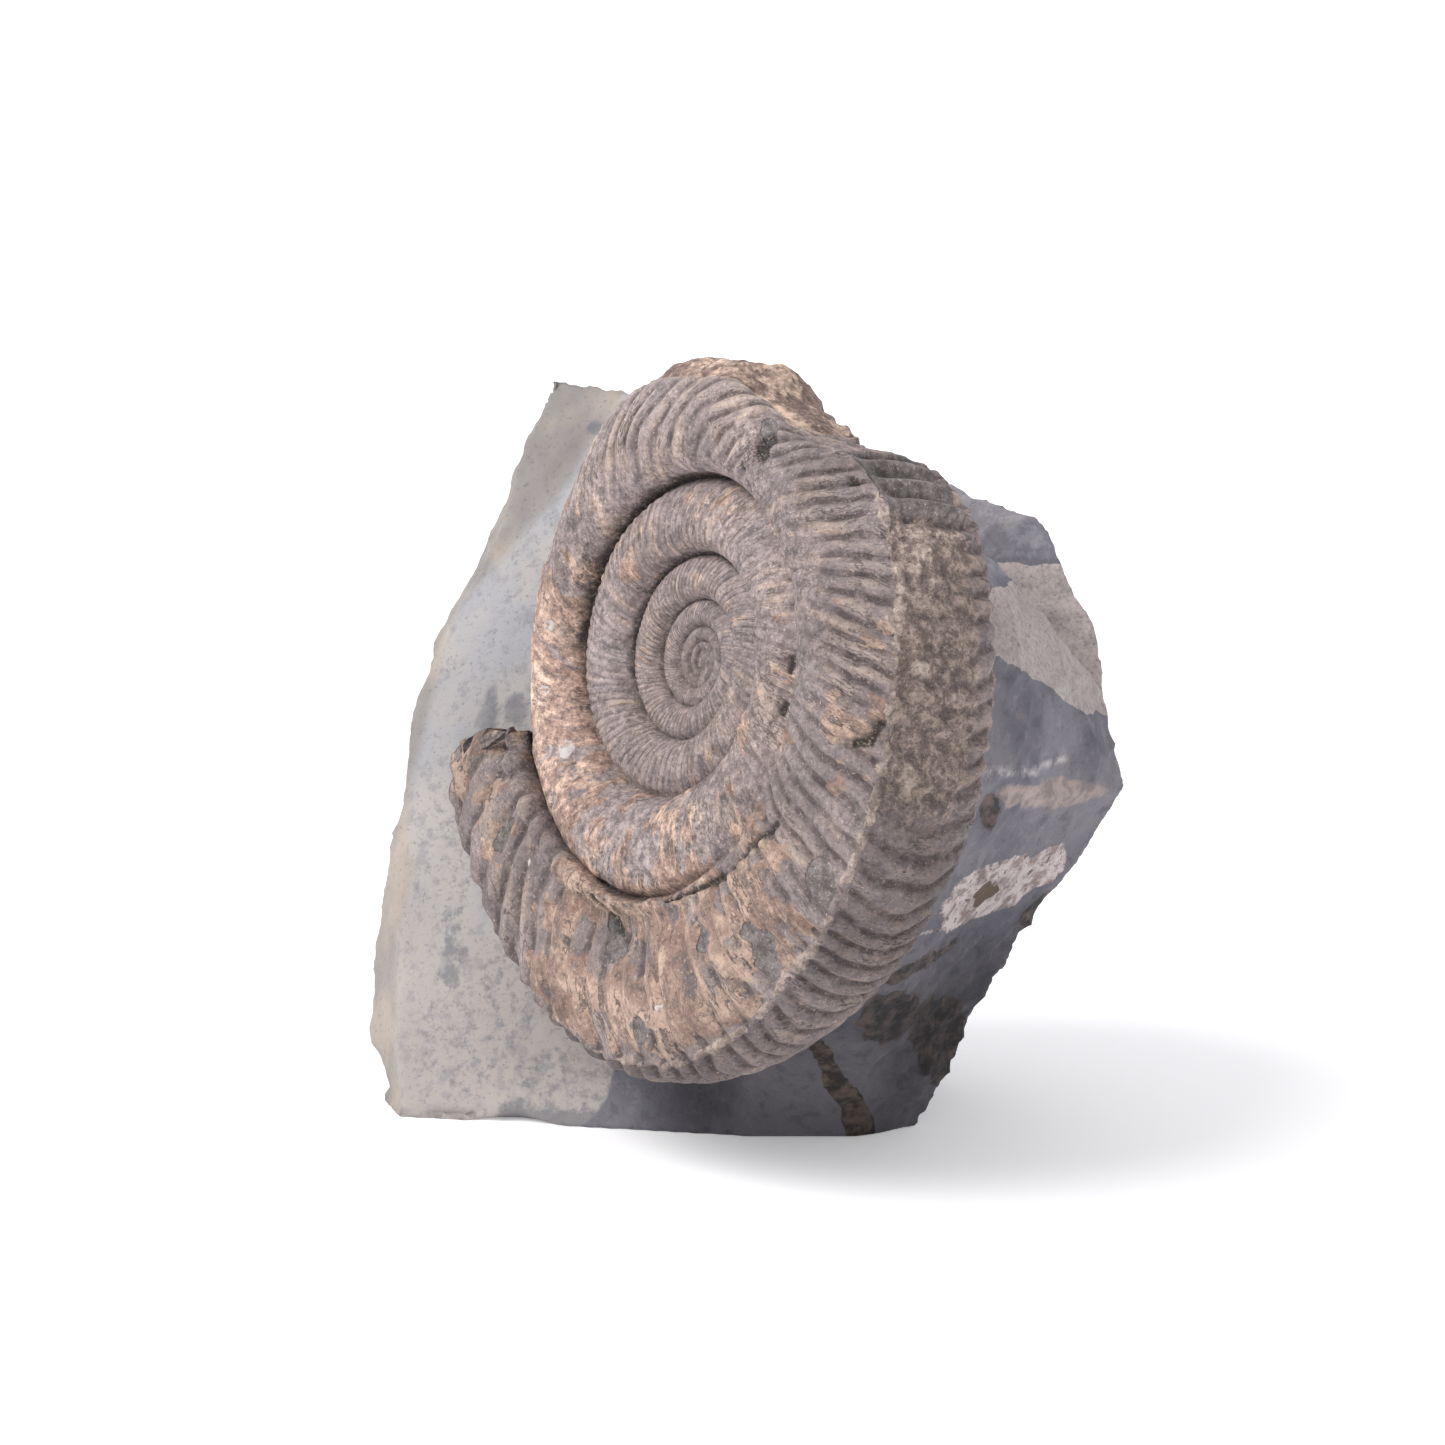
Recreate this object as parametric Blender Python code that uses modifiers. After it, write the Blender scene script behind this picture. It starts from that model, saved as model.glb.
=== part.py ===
"""An ammonite standing proud of the piece of grey mudstone it was found in.

Two solids: the coiled fossil, and the rock that holds its hidden side like a mould.
Metres, +Z up. The rock stands on a flat foot at Z = 0, and the front of the piece faces -Y.
The origin is under the middle of the piece, at the level of the foot.
Sizes in the tables are in millimetres, and new_object brings them to metres.
"""

import math

import bmesh
import bpy
from mathutils import Matrix, Vector

MM = 0.001

# Moves the middle of the piece's outline to X = 0, Y = 0.
CENTRING = Vector((-1.4, -13.59, 0.0))

# The coil's own frame: its axis is local Z, and its front is local +Z.
COIL_CENTRE = Vector((-2.0, 0.9, 55.9))
COIL_LEAN = math.radians(79.3)
COIL_TURN = math.radians(-51.4)

# Sizes on a whorl are shares of its seam radius, which shrinks by COIL_GROWTH with each turn
# inwards. Angles start at the aperture and grow inwards along the coil.
SEAM_RADIUS = 23.1
COIL_GROWTH = 1.73
APERTURE_ANGLE = -156
WHORLS = 4
COLUMNS_PER_WHORL = 48

# Half a whorl's outline as (distance from the coil's axis, height above its middle plane): over the
# flank from the inner seam to the outer seam, then round the outer edge to the middle plane.
FLANK = ((1.0, 0.185), (1.03, 0.30), (1.12, 0.405), (1.27, 0.46), (1.44, 0.455), (1.60, 0.405), (1.73, 0.32))
OUTER_EDGE = ((1.79, 0.20), (1.815, 0.10), (1.82, 0.0))

# The living chamber is crushed towards the aperture, the outer edge of the last whorl is worn, and
# the left side of the coil is squeezed in. Pairs of (angle, share of a whole whorl's thickness),
# (angle, loss of the outer edge) and (angle, share of the distance from the axis that is lost).
THICKNESS = ((-110, 0.42), (-20, 1.0), (100, 1.0), (150, 0.85), (204, 0.85), (240, 1.0))
WEAR = ((-125, 0.10), (-55, 0.0), (28, 0.0), (42, 0.12), (55, 0.25), (68, 0.22), (84, 0.12), (110, 0.10),
        (140, 0.16), (190, 0.16), (215, 0.0))
SQUEEZE = ((100, 0.0), (165, 0.09), (215, 0.09), (270, 0.0))
SQUEEZE_REACH = (18.0, 28.0)

# The fossil lies in the rock with this much clearance, so that the two solids never touch.
BED_GAP = 0.3

# Corners of the slab, before CENTRING.
FOOT_FRONT = ((-37.7, 19.4, 0), (-29, 19.6, 0), (-19, 18.7, 0), (-9.5, 15.2, 0), (2, 10, 0),
              (15.7, 10, 0), (18.5, 11.8, 0), (22.8, 15.7, 0))
LEFT_CREASE = ((-38.3, 24.3, 13.8), (-37.3, 30.2, 26.6), (-36.6, 36.3, 41.5), (-31.8, 42.3, 55.8),
               (-23.7, 46.8, 66.4), (-18.1, 48.6, 71.5), (-15.6, 51.4, 77.1))
LEFT_EDGE = ((-40.3, 28.5, 0), (-42.6, 31.5, 7.7), (-41.5, 33.7, 15.8), (-38.3, 40.3, 34.1),
             (-33.7, 47.3, 54.9), (-29.7, 52.3, 62.3), (-22.4, 56.5, 77.6), (-20.5, 58.3, 83.3))
TOP_EDGE = ((-10.1, 53.1, 81.8), (8, 42, 78), (27.1, 25.4, 71.6), (31.9, 23.4, 71.6), (36.4, 21, 69.5))
RIGHT_EDGE = ((37.8, 17.4, 65.2), (41.1, 14.4, 58.3), (43.1, 11.2, 50.2), (45.4, 7.9, 41), (44.5, 8.5, 37.5),
              (41.5, 12, 33.7), (38.6, 14.2, 28.3), (34.1, 14.5, 23.2), (29.6, 15.2, 13.7), (27.4, 15.4, 8))
BACK = ((-38, 46, 0), (-20, 57, 0), (8, 59, 0), (22, 44, 0), (-39, 50, 22), (-15, 63, 30), (18, 60, 28),
        (38, 38, 32), (41, 30, 46), (37, 32, 62), (-27, 60, 58), (2, 62, 66), (24, 48, 66), (-12, 61, 80))

# The shoulder is the rock that runs forward under the fossil: from roots inside the slab, out to
# its broken right face, and to two arcs on the fossil's hidden side. An arc is (first angle, last
# angle, distance from the axis, height), in the coil's shares.
SHOULDER_ROOTS = ((-18, 50, 62), (-24, 40, 30), (-10, 30, 4), (15, 45, 60), (20, 40, 10))
SHOULDER_FACE = ((30.5, 2.3, 65.8), (30.3, -6.9, 57.5), (36.0, 0.5, 52.7), (30.3, -4.6, 38.0),
                 (23.5, -10.1, 34.8), (43.1, 11.2, 50.2), (45.4, 7.9, 41.0), (41.5, 12.0, 33.7),
                 (22.8, 15.7, 0), (15.7, 10, 0), (2, 10, 0))
SHOULDER_ARCS = ((-100, 40, 1.47, -0.40), (55, 240, 1.15, -0.34))
ARC_STEP = 10

# A ball-shaped hollow under the front of the foot: centre and radii.
FOOT_HOLLOW = ((-25, 13, -3.5), (9, 9, 5.5))


def remove_all_objects():
    for old in list(bpy.data.objects):
        bpy.data.objects.remove(old, do_unlink=True)


def new_collection(name, hidden=False):
    collection = bpy.data.collections.new(name)
    collection.hide_render = hidden
    bpy.context.scene.collection.children.link(collection)
    return collection


def stone_material(name, colour, roughness):
    material = bpy.data.materials.new(name)
    material.use_nodes = True
    shader = material.node_tree.nodes["Principled BSDF"]
    shader.inputs["Base Color"].default_value = (*colour, 1.0)
    shader.inputs["Roughness"].default_value = roughness
    shader.inputs["Metallic"].default_value = 0.0
    return material


def new_object(name, bm, collection, material=None):
    bmesh.ops.scale(bm, vec=(MM, MM, MM), verts=bm.verts)
    mesh = bpy.data.meshes.new(name)
    bm.to_mesh(mesh)
    bm.free()
    obj = bpy.data.objects.new(name, mesh)
    collection.objects.link(obj)
    if material:
        mesh.materials.append(material)
    else:
        obj.hide_render = True
        obj.display_type = "WIRE"
    return obj


def eased(table, angle):
    """The table's value at an angle, with an eased change from each pair to the next."""
    before, value = table[0]
    for after, next_value in table:
        if before < angle < after:
            share = (angle - before) / (after - before)
            return value + (next_value - value) * share * share * (3 - 2 * share)
        if angle >= after:
            before, value = after, next_value
    return value


def past(distance, start, end):
    """0 up to start, 1 from end on, and in proportion between them."""
    return min(max((distance - start) / (end - start), 0.0), 1.0)


def coil_point(angle, distance, height):
    """A point in the coil's own frame, from shares of the seam radius at its angle in degrees."""
    radius = SEAM_RADIUS * COIL_GROWTH ** (-angle / 360)
    squeeze = 1 - eased(SQUEEZE, angle % 360) * past(distance * radius, *SQUEEZE_REACH)
    turn = math.radians(angle)
    along = distance * squeeze
    return Vector((along * math.cos(turn), along * math.sin(turn), height)) * radius


def whorl_point(angle, distance, height):
    """A point of the whorl's outline, with the crushing and the wear at its angle."""
    crushed = 1 - (1 - eased(THICKNESS, angle)) * past(distance, FLANK[0][0], FLANK[2][0])
    worn = eased(WEAR, angle) * past(distance, FLANK[3][0], OUTER_EDGE[-1][0])
    return coil_point(angle, distance - worn, height * crushed)


def coil_matrix():
    turned = Matrix.Rotation(COIL_TURN, 4, "Z") @ Matrix.Rotation(COIL_LEAN, 4, "X")
    return Matrix.Translation(COIL_CENTRE + CENTRING) @ turned


def half_coil():
    """The front half of the fossil, open at the middle plane. Neighbouring turns share their seam."""
    bm = bmesh.new()
    columns = []
    for step in range(WHORLS * COLUMNS_PER_WHORL + 1):
        angle = APERTURE_ANGLE + step * 360 / COLUMNS_PER_WHORL
        outline = FLANK if step > COLUMNS_PER_WHORL else FLANK + OUTER_EDGE
        column = [bm.verts.new(whorl_point(angle, *point)) for point in outline]
        if step >= COLUMNS_PER_WHORL:
            seam = len(FLANK) - 1
            bm.verts.remove(column[seam])
            column[seam] = columns[step - COLUMNS_PER_WHORL][0]
        columns.append(column)
    for outer, inner in zip(columns, columns[1:]):
        for row in range(min(len(outer), len(inner)) - 1):
            bm.faces.new((outer[row], inner[row], inner[row + 1], outer[row + 1]))
    aperture, covered = columns[0], columns[COLUMNS_PER_WHORL][len(FLANK):]
    bm.faces.new(aperture + covered[::-1])
    innermost = [column[0] for column in columns[-1 - COLUMNS_PER_WHORL:]]
    bm.faces.new(innermost + columns[-1][1:-1])
    bmesh.ops.recalc_face_normals(bm, faces=bm.faces)
    return bm


def add_mirror(obj):
    mirror = obj.modifiers.new("both_halves", "MIRROR")
    mirror.use_axis = (False, False, True)
    mirror.use_clip = True
    mirror.merge_threshold = 0.00002


def add_boolean(obj, operation, cutter):
    boolean = obj.modifiers.new(cutter.name, "BOOLEAN")
    boolean.operation = operation
    boolean.solver = "EXACT"
    boolean.object = cutter


def hull(points):
    """The convex solid around a set of corners, moved over the origin."""
    bm = bmesh.new()
    for point in points:
        bm.verts.new(Vector(point) + CENTRING)
    bmesh.ops.convex_hull(bm, input=bm.verts)
    swallowed = [vert for vert in bm.verts if not vert.link_faces]
    bmesh.ops.delete(bm, geom=swallowed, context="VERTS")
    bmesh.ops.recalc_face_normals(bm, faces=bm.faces)
    return bm


def build_fossil(collection, cutters):
    """The fossil, and the swollen copy of it that presses its bed into the rock."""
    colour = stone_material("fossil_stone", (0.30, 0.25, 0.21), 0.62)
    fossil = new_object("ammonite", half_coil(), collection, colour)
    bed = new_object("fossil_bed", half_coil(), cutters)
    placing = coil_matrix()
    placing.translation *= MM
    for obj in (fossil, bed):
        obj.matrix_world = placing
        add_mirror(obj)
    swell = bed.modifiers.new("bed_gap", "DISPLACE")
    swell.mid_level = 0.0
    swell.strength = BED_GAP * MM
    return bed


def build_rock(collection, cutters, bed):
    colour = stone_material("mudstone", (0.33, 0.33, 0.31), 0.8)
    slab = hull(FOOT_FRONT + LEFT_CREASE + LEFT_EDGE + TOP_EDGE + RIGHT_EDGE + BACK)
    rock = new_object("matrix_rock", slab, collection, colour)

    corners = list(SHOULDER_ROOTS + SHOULDER_FACE)
    placing = Matrix.Translation(-CENTRING) @ coil_matrix()
    for first, last, distance, height in SHOULDER_ARCS:
        for angle in range(first, last + 1, ARC_STEP):
            corners.append(placing @ coil_point(angle, distance, height))
    add_boolean(rock, "UNION", new_object("shoulder", hull(corners), cutters))
    add_boolean(rock, "DIFFERENCE", bed)

    centre, radii = FOOT_HOLLOW
    ball = bmesh.new()
    bmesh.ops.create_icosphere(ball, subdivisions=2, radius=1.0)
    bmesh.ops.scale(ball, vec=radii, verts=ball.verts)
    bmesh.ops.translate(ball, vec=Vector(centre) + CENTRING, verts=ball.verts)
    add_boolean(rock, "DIFFERENCE", new_object("foot_hollow", ball, cutters))


def main():
    remove_all_objects()
    parts = new_collection("ammonite_in_matrix")
    cutters = new_collection("cutters", hidden=True)
    bed = build_fossil(parts, cutters)
    build_rock(parts, cutters, bed)


main()
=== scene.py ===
# %% [markdown]
# # An ammonite in its rock
#
# This piece is a fossil: the coiled shell of an ammonite, turned to stone, that still stands in the
# grey mudstone it was found in. Two shapes make it up. One follows a rule, the growing spiral of the
# shell, so it is worked out by formula. The other is broken at random, so it is carved from a rough
# block. We start with the plain model that fixes the sizes, and we build both surfaces around it.

# %% The frame and the tools
import itertools
import math
from types import SimpleNamespace

import bmesh
import bpy
import numpy as np
from mathutils import Matrix, Vector


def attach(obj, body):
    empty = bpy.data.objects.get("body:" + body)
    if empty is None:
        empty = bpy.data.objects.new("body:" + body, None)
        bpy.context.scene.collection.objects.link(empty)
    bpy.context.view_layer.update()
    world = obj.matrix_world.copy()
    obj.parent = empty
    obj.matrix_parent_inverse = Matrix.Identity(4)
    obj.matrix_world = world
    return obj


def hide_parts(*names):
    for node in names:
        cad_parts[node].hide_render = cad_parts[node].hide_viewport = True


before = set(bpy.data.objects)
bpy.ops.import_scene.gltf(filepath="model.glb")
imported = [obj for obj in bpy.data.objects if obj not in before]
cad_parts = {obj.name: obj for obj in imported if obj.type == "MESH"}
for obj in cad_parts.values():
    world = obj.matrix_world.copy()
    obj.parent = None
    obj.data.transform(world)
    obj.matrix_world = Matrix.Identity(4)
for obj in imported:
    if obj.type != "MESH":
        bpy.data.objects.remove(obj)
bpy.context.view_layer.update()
MM = 0.001

# %% [markdown]
# The helpers below are used on both surfaces. An operator acts on all that is selected, so
# `only` selects one object and nothing else. The noise is the usual lattice noise: a random slope at
# each corner of a grid, blended in between. A fixed seed gives the same stone each time. Points are
# handled in millimetres, and turned into metres when they are written to a mesh.

# %% Helpers: selecting, easing and noise
def only(obj):
    bpy.ops.object.select_all(action="DESELECT")
    obj.select_set(True)
    bpy.context.view_layer.objects.active = obj


def ramp(value, low, high):
    """0 below low, 1 above high, eased in between. With low above high it falls instead."""
    share = np.clip((np.asarray(value, float) - low) / (high - low), 0, 1)
    return share * share * (3 - 2 * share)


def span(value, start, full, fading, end):
    """0 up to start, 1 from full to fading, and 0 again past end."""
    return ramp(value, start, full) * ramp(value, end, fading)


def eased(table, value):
    """The table's value, with an eased change from each (place, value) pair to the next."""
    places, values = (np.array(column, float) for column in zip(*table))
    value = np.clip(value, places[0], places[-1])
    after = np.clip(np.searchsorted(places, value, side="right"), 1, len(places) - 1)
    share = (value - places[after - 1]) / (places[after] - places[after - 1])
    return values[after - 1] + (values[after] - values[after - 1]) * ramp(share, 0, 1)


SLOPES = np.random.default_rng(11).normal(size=(256, 3))
SLOPES /= np.linalg.norm(SLOPES, axis=1, keepdims=True)
CELL_MIXERS = (73856093, 19349663, 83492791)


def slope_of(cells):
    """The slope that each cell of the grid keeps, picked by its whole-number place."""
    x, y, z = (cells * CELL_MIXERS).T
    return SLOPES[(x ^ y ^ z) & 255]


def lumps(points, size, seed=0):
    """Smooth noise from about -1 to 1, with one lump to each size."""
    points = points / size + 7.31 * seed
    cell = np.floor(points).astype(np.int64)
    part = points - cell
    blend = part ** 3 * (part * (part * 6 - 15) + 10)
    total = np.zeros(len(points))
    for corner in itertools.product((0, 1), repeat=3):
        weight = np.prod(np.where(corner, blend, 1 - blend), axis=1)
        total += weight * np.sum(slope_of(cell + corner) * (part - corner), axis=1)
    return total * 1.7


def rough(points, size, octaves=4, seed=0, keep=0.5):
    """Layers of lumps, each half the size and keep times the height of the one before."""
    layers = [keep ** n * lumps(points, size / 2 ** n, seed + n) for n in range(octaves)]
    return sum(layers) / sum(keep ** n for n in range(octaves))


def ridges(points, size, octaves=3, seed=0):
    """Creases: 1 along sharp lines, falling to 0 between them."""
    return 1 - np.minimum(np.abs(rough(points, size, octaves, seed)) * 2.2, 1)


# %% Helper: the distance to a line
def from_line(across, up, line):
    """How far each (across, up) pair lies from a line of points, and on which side of it."""
    place = np.stack((across, up), axis=1)
    nearest = np.full(len(place), 1e9)
    side = np.zeros(len(place))
    for start, end in zip(line[:-1], line[1:]):
        start, step = np.array(start, float), np.subtract(end, start).astype(float)
        share = np.clip((place - start) @ step / (step @ step), 0, 1)[:, None]
        off = place - start - share * step
        away = np.linalg.norm(off, axis=1)
        turn = step[0] * off[:, 1] - step[1] * off[:, 0]
        closer = away < nearest
        side = np.where(closer, np.sign(turn), side)
        nearest = np.minimum(nearest, away)
    return nearest * side


# %% Reading, moving and painting a mesh's points
def read(mesh):
    """The mesh's points, in millimetres, and its normals."""
    points = np.empty(len(mesh.vertices) * 3, np.float32)
    normals = np.empty_like(points)
    mesh.vertices.foreach_get("co", points)
    mesh.vertex_normals.foreach_get("vector", normals)
    return points.reshape(-1, 3).astype(float) / MM, normals.reshape(-1, 3).astype(float)


def write(mesh, points):
    mesh.vertices.foreach_set("co", (points * MM).astype(np.float32).ravel())
    mesh.update()


def paint(mesh, name, values):
    """Stores one number at each point, for the material to read."""
    mesh.attributes.new(name, "FLOAT", "POINT").data.foreach_set("value", values.astype(np.float32))


# %% [markdown]
# ## The camera, the floor and the light
#
# The specimen is shown the way small things usually are: through a long lens, a little from
# above, on white paper that curves up behind it. One large soft light stands to the left, and the
# white room around fills the shadows.

# %% The camera
PLAN_SHIFT = Vector((-1.4, -13.59, 0)) * MM
VIEW_HEIGHT = 49.2 * MM
VIEW_DISTANCE = 440 * MM
VIEW_DOWN = math.radians(8)
LENS_MM = 99.66
SENSOR_MM = 36

camera = bpy.data.objects.new("camera", bpy.data.cameras.new("camera"))
bpy.context.scene.collection.objects.link(camera)
camera.data.lens = LENS_MM
camera.data.sensor_width = SENSOR_MM
camera.data.clip_start = 0.01
back_off = Vector((0, -math.cos(VIEW_DOWN), math.sin(VIEW_DOWN))) * VIEW_DISTANCE
camera.location = PLAN_SHIFT + Vector((0, 0, VIEW_HEIGHT)) + back_off
camera.rotation_euler = (math.radians(90) - VIEW_DOWN, 0, 0)
bpy.context.scene.camera = camera

# %% The paper sweep, in metres
PAPER_SIDE = 6
PAPER_RISE = 3
PAPER_BEND = 1.5


def select_edges(obj, wanted):
    """In edit mode, selects the edges whose two ends are both wanted, and nothing else."""
    bpy.ops.mesh.select_all(action="DESELECT")
    shape = bmesh.from_edit_mesh(obj.data)
    for edge in shape.edges:
        edge.select_set(all(wanted(vert.co) for vert in edge.verts))
    bmesh.update_edit_mesh(obj.data)


def at_back(place):
    return place.y > PAPER_SIDE / 2 - 0.1


bpy.ops.object.select_all(action="DESELECT")
bpy.ops.mesh.primitive_plane_add(size=PAPER_SIDE, location=(0, 0, 0))
paper = bpy.context.object
paper.name = "paper_sweep"
bpy.ops.object.mode_set(mode="EDIT")
bpy.ops.mesh.select_mode(type="EDGE")
select_edges(paper, at_back)
bpy.ops.mesh.extrude_region_move(TRANSFORM_OT_translate={"value": (0, 0, PAPER_RISE)})
select_edges(paper, lambda place: at_back(place) and place.z < 0.1)
bpy.ops.mesh.bevel(offset=PAPER_BEND, segments=24)
bpy.ops.object.mode_set(mode="OBJECT")
bpy.ops.object.shade_smooth()

white_paper = bpy.data.materials.new("white_paper")
white_paper.use_nodes = True
paper_look = {"Base Color": (0.93, 0.93, 0.95, 1), "Roughness": 0.9, "Specular IOR Level": 0.2,
              "Emission Color": (1, 1, 1, 1), "Emission Strength": 0.25}
for socket_name, value in paper_look.items():
    white_paper.node_tree.nodes["Principled BSDF"].inputs[socket_name].default_value = value
paper.data.materials.append(white_paper)

# %% The light
WINDOW_SIDE = Vector((-0.72, -0.38, 0.80))

window = bpy.data.objects.new("window_left", bpy.data.lights.new("window_left", "SUN"))
window.data.energy = 2.3
window.data.angle = math.radians(38)
window.data.color = (1.0, 0.99, 0.98)
window.rotation_euler = (-WINDOW_SIDE).to_track_quat("-Z", "Y").to_euler()
bpy.context.scene.collection.objects.link(window)

room = bpy.data.worlds.new("white_room")
room.use_nodes = True
room.node_tree.nodes["Background"].inputs["Color"].default_value = (0.98, 0.98, 1.0, 1)
room.node_tree.nodes["Background"].inputs["Strength"].default_value = 0.68
bpy.context.scene.world = room
bpy.context.scene.view_settings.view_transform = "Standard"
print("camera, paper and light are in place")

# %% [markdown]
# ## The coil
#
# An ammonite grows by a simple rule: each whorl is the one before it, turned and scaled up by a fixed
# amount. So one outline and one growth factor place every point. A point is named by its angle along
# the coil, which starts at the shell's mouth and grows inwards, and by its place on the whorl's
# outline. The sizes are those of the plain model. Three tables add what happened to this shell in
# the ground: the living chamber was crushed, the outer edge was worn, and one side was pressed in.
# Each pair in them is an angle in degrees and the value there.

# %% The coil's rule
COIL_CENTRE = Vector((-2.0, 0.9, 55.9)) + PLAN_SHIFT / MM
COIL_TURNED = Matrix.Rotation(math.radians(-51.4), 3, "Z") @ Matrix.Rotation(math.radians(79.3), 3, "X")
SEAM_RADIUS = 23.1
COIL_GROWTH = 1.73
APERTURE_ANGLE = -156
OUTLINE = ((1.0, 0.185), (1.03, 0.30), (1.12, 0.405), (1.27, 0.46), (1.44, 0.455), (1.60, 0.405),
           (1.73, 0.32), (1.79, 0.20), (1.815, 0.10), (1.82, 0.0))
OUTER_SEAM = 6
MIDDLE = 9
LAST_PLACE = 18
INNER_EDGE, OUTER_EDGE = OUTLINE[0][0], OUTLINE[-1][0]
CROWN = OUTLINE[3][0]
FIRST_JOIN = APERTURE_ANGLE + 360
THICKNESS = ((-110, 0.42), (-20, 1.0), (100, 1.0), (150, 0.85), (FIRST_JOIN, 0.85), (240, 1.0))
WEAR = ((-125, 0.10), (-55, 0.0), (28, 0.0), (42, 0.12), (55, 0.25), (68, 0.22), (84, 0.12),
        (110, 0.10), (140, 0.16), (190, 0.16), (215, 0.0))
SQUEEZE = ((100, 0.0), (165, 0.09), (215, 0.09), (270, 0.0))
SQUEEZE_REACH = (18.0, 28.0)

whole_outline = np.array(OUTLINE + tuple((out, -height) for out, height in OUTLINE[-2::-1]))


def on_outline(place):
    """The outline's (distance, height) at a place from 0 to 18, curved through its points."""
    first = np.clip(np.floor(place).astype(int), 0, len(whole_outline) - 2)
    share = (place - first)[..., None]
    last = len(whole_outline) - 1
    p0, p1, p2, p3 = (whole_outline[np.clip(first + step, 0, last)] for step in (-1, 0, 1, 2))
    return p1 + 0.5 * share * (p2 - p0 + share * (2 * p0 - 5 * p1 + 4 * p2 - p3
                                                  + share * (3 * (p1 - p2) + p3 - p0)))


def seam_radius(angle):
    return SEAM_RADIUS * COIL_GROWTH ** (-angle / 360)


def coil_surface(angle, place):
    """Points of the smooth coil in its own frame, in millimetres."""
    distance, height = np.moveaxis(on_outline(place), -1, 0)
    off_edge = np.clip((distance - INNER_EDGE) / 0.12, 0, 1)
    height = height * (1 - (1 - eased(THICKNESS, angle)) * off_edge)
    worn = eased(WEAR, angle) * np.clip((distance - CROWN) / (OUTER_EDGE - CROWN), 0, 1)
    radius = seam_radius(angle)
    near, far = SQUEEZE_REACH
    squeeze = eased(SQUEEZE, angle % 360) * np.clip((distance * radius - near) / (far - near), 0, 1)
    out = (distance - worn) * (1 - squeeze) * radius
    turn = np.radians(angle)
    return np.stack((out * np.cos(turn), out * np.sin(turn), height * radius), axis=-1)


# %% [markdown]
# Each whorl starts as a flat grid, like a strip of paper: its length becomes the whorl's length, and
# its width becomes the outline. Rolling the strip up is then one formula on its points. The grid
# keeps its rows and columns, so the ribs can follow it exactly. The columns lean as the ribs do, or
# each rib would be cut up into beads. The outermost strip wraps round to the hidden side. Each inner
# strip covers its own flank, with as many rows or half as many, and it takes its columns from the
# inner edge of the strip outside it, so that all points along a seam meet. At the mouth the middle of
# the flank reaches a few degrees further than the rest.

# %% Rolling the strips
COLUMNS = 680
HIDDEN_SEAM = LAST_PLACE - OUTER_SEAM
OUTER_ROWS = np.concatenate((np.linspace(0, OUTER_SEAM, 41),
                             np.linspace(OUTER_SEAM, HIDDEN_SEAM, 33)[1:],
                             np.linspace(HIDDEN_SEAM, LAST_PLACE, 9)[1:]))
INNER_ROWS = [np.linspace(0, OUTER_SEAM, rows) for rows in (21, 21, 11, 6, 6)]
FLANK_WIDTH = OUTLINE[OUTER_SEAM][0] - INNER_EDGE
MOUTH_REACH = 4.5
LEAN = ((-100, 14), (-62, 8), (-25, -10), (25, -15), (85, -37), (130, -36), (230, -12), (1400, -12))


def strip_angles(start, place):
    """The angle of every point of a strip, from the angles that its columns start at."""
    distance = on_outline(np.minimum(place, OUTER_SEAM))[..., 0] - INNER_EDGE
    if start[0] < 0:
        lean = eased(LEAN, start) * span(start, APERTURE_ANGLE, -115, 140, FIRST_JOIN)
        over_mouth = span(place, 0.9, 3.2, 4.5, 7.5) * ramp(start, -138, APERTURE_ANGLE)
        return start + lean * distance - MOUTH_REACH * over_mouth
    inner_lean = -LEAN[-1][1] * ramp(start, FIRST_JOIN, FIRST_JOIN + 90)
    return start + inner_lean * (FLANK_WIDTH - distance)


def flat_strip(name, rows):
    """A flat grid with COLUMNS steps along X and rows along Y, from 0 to 1 each way."""
    bpy.ops.object.select_all(action="DESELECT")
    bpy.ops.mesh.primitive_grid_add(x_subdivisions=COLUMNS, y_subdivisions=rows - 1, size=1,
                                    location=(0, 0, 0))
    strip = bpy.context.object
    strip.name = name
    flat = np.empty(len(strip.data.vertices) * 3, np.float32)
    strip.data.vertices.foreach_get("co", flat)
    flat = flat.reshape(-1, 3)[:, :2] + 0.5
    column = np.rint(flat[:, 0] * COLUMNS).astype(int)
    row = np.rint(flat[:, 1] * (rows - 1)).astype(int)
    return strip, row, column


def surface_normal(angle, place):
    """The way out of the smooth coil, from two small steps on its surface."""
    along = coil_surface(angle + 0.2, place) - coil_surface(angle - 0.2, place)
    across = coil_surface(angle, place + 0.04) - coil_surface(angle, place - 0.04)
    out = np.cross(across, along)
    return out / np.maximum(np.linalg.norm(out, axis=-1, keepdims=True), 1e-9)


def across_outline(place):
    """How far along the outline a place is, as a share of the seam radius."""
    fine = np.linspace(0, LAST_PLACE, 361)
    steps = np.linalg.norm(np.diff(on_outline(fine), axis=0), axis=1)
    return np.interp(place, fine, np.concatenate(((0,), np.cumsum(steps))))


# %% [markdown]
# The ribs are what the eye sees first. This kind of ammonite has fine, close ribs, which stand further
# apart near the shell's mouth, and most of them lean towards it. At the outer edge many of them fork,
# so on most of the last whorl the edge carries more ribs than the flank, and there they bow forward.
# The tables say how many ribs a whole turn would hold at each angle.

# %% The ribs
RIBS_PER_WHORL = ((-160, 52), (-115, 56), (-75, 62), (-35, 74), (0, 94), (38, 94), (66, 60), (110, 50),
                  (150, 62), (204, 76), (300, 82), (1400, 80))
EDGE_RIBS_PER_WHORL = ((-160, 70), (-60, 74), (20, 80), (60, 90), (300, 90))
RIB_HEIGHT = 0.029
EDGE_BOW = 4.5
EDGE_HALF_WIDTH = 3.5
FORK_FROM_SEAM = 0.72


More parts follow.
